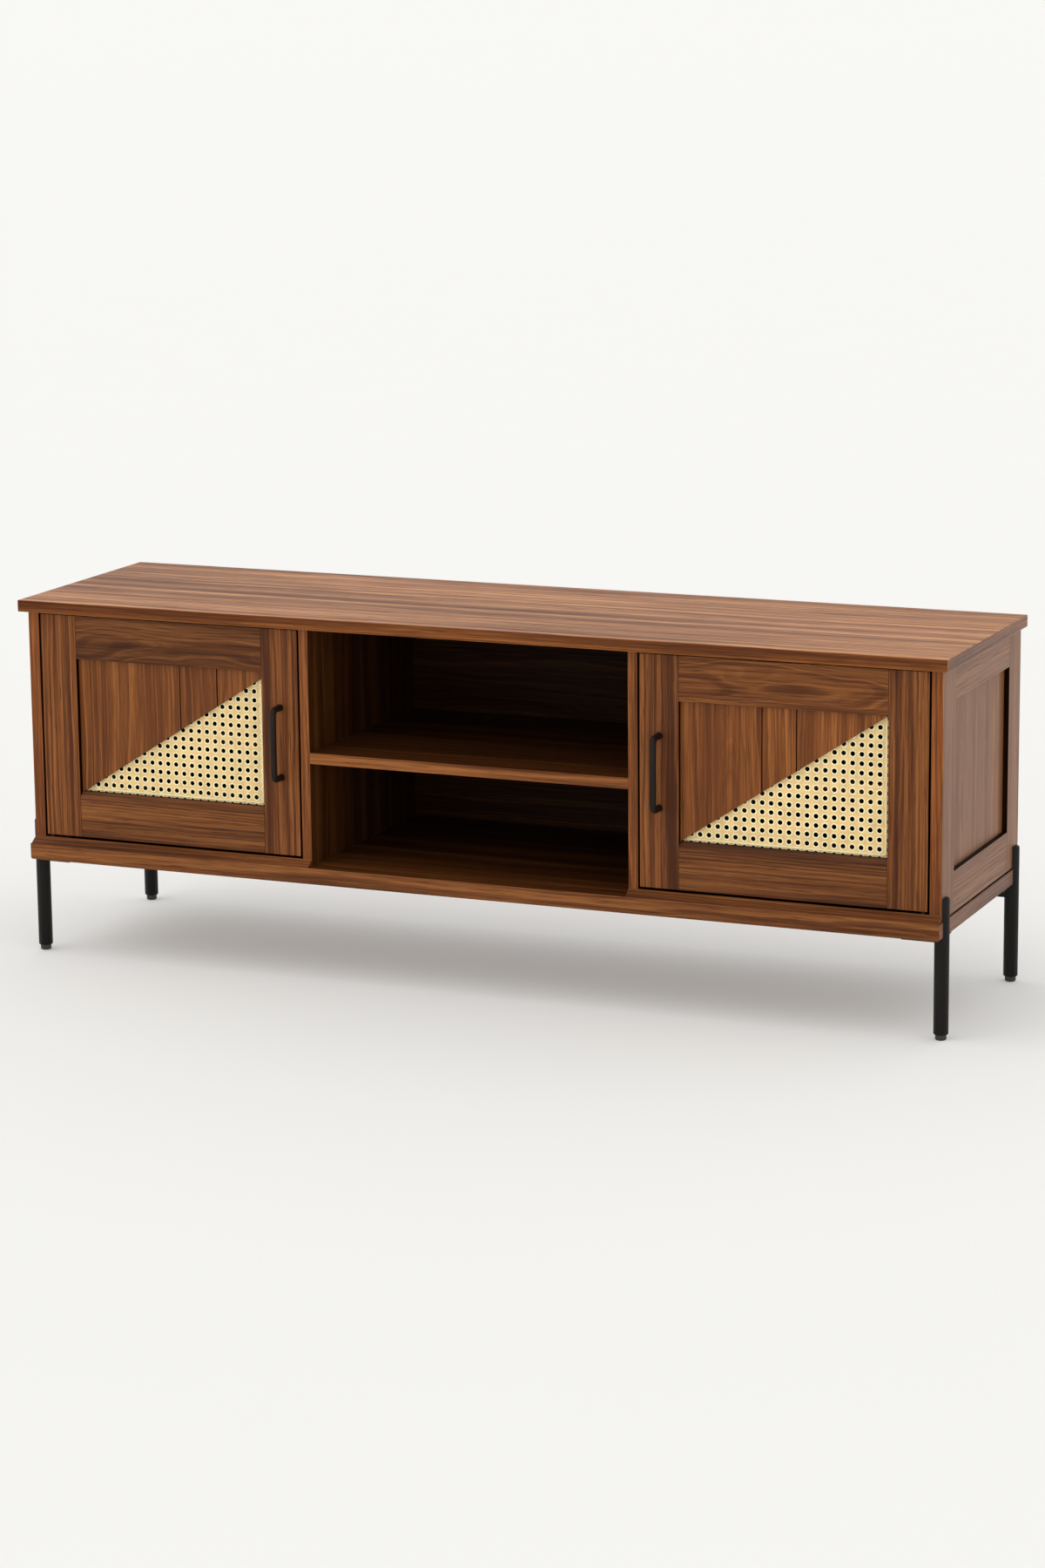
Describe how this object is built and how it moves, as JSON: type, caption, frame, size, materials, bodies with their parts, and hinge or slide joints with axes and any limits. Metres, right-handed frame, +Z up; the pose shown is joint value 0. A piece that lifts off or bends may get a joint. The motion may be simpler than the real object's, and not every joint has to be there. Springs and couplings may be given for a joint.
{
  "type": "tv stand with doors",
  "caption": "Low wooden media stand with an open shelved middle bay and a cane-and-wood framed door on each side, on slim black metal legs.",
  "frame": {"origin": "on the floor, under the centre of the whole piece with its handles and closed doors", "axes": "+X to the right along the front, +Y from the front to the back, +Z up"},
  "size_m": [1.5, 0.415, 0.562],
  "materials": {
    "walnut": "satin",
    "board": "matte",
    "dowel": "matte",
    "cane": "satin",
    "bronze": "satin",
    "black_metal": "matte",
    "steel": "satin",
    "catch_plastic": "matte",
    "glide_plastic": "matte"
  },
  "bodies": {
    "case": {"back_left_leg": "black_metal", "back_panel": "board", "back_panel_screws": "steel", "back_right_leg": "black_metal", "base_board": "walnut", "case_dowels": "dowel", "case_hinge_screws": "steel", "front_left_leg": "black_metal", "front_right_leg": "black_metal", "left_case_pivots": "black_metal", "left_catch": "catch_plastic", "left_divider": "walnut", "left_end_back_stile": "walnut", "left_end_bottom_rail": "walnut", "left_end_front_stile": "walnut", "left_end_panel": "walnut", "left_end_top_rail": "walnut", "left_inner_shelf": "walnut", "left_sill": "walnut", "leg_glides": "glide_plastic", "leg_screws": "steel", "middle_shelf": "walnut", "rear_stretcher": "black_metal", "right_case_pivots": "black_metal", "right_catch": "catch_plastic", "right_divider": "walnut", "right_end_back_stile": "walnut", "right_end_bottom_rail": "walnut", "right_end_front_stile": "walnut", "right_end_panel": "walnut", "right_end_top_rail": "walnut", "right_inner_shelf": "walnut", "right_sill": "walnut", "shelf_pins": "steel", "top_panel": "walnut"},
    "left_door": {"left_door_backer": "board", "left_door_bottom_rail": "walnut", "left_door_cane": "cane", "left_door_handle": "bronze", "left_door_handle_screws": "steel", "left_door_hinge_leaves": "black_metal", "left_door_hinge_screws": "steel", "left_door_hinge_stile": "walnut", "left_door_latch_stile": "walnut", "left_door_strike_plate": "steel", "left_door_top_rail": "walnut", "left_door_wood_panel": "walnut"},
    "right_door": {"right_door_backer": "board", "right_door_bottom_rail": "walnut", "right_door_cane": "cane", "right_door_handle": "bronze", "right_door_handle_screws": "steel", "right_door_hinge_leaves": "black_metal", "right_door_hinge_screws": "steel", "right_door_hinge_stile": "walnut", "right_door_latch_stile": "walnut", "right_door_strike_plate": "steel", "right_door_top_rail": "walnut", "right_door_wood_panel": "walnut"}
  },
  "joints": [
    {"name": "left_door_hinge", "type": "hinge", "parent": "case", "child": "left_door", "pos_m": [-0.712, -0.1725, 0.3655], "axis": [0, 0, -1], "range_deg": [0, 105]},
    {"name": "right_door_hinge", "type": "hinge", "parent": "case", "child": "right_door", "pos_m": [0.712, -0.1725, 0.3655], "axis": [0, 0, 1], "range_deg": [0, 105]}
  ]
}
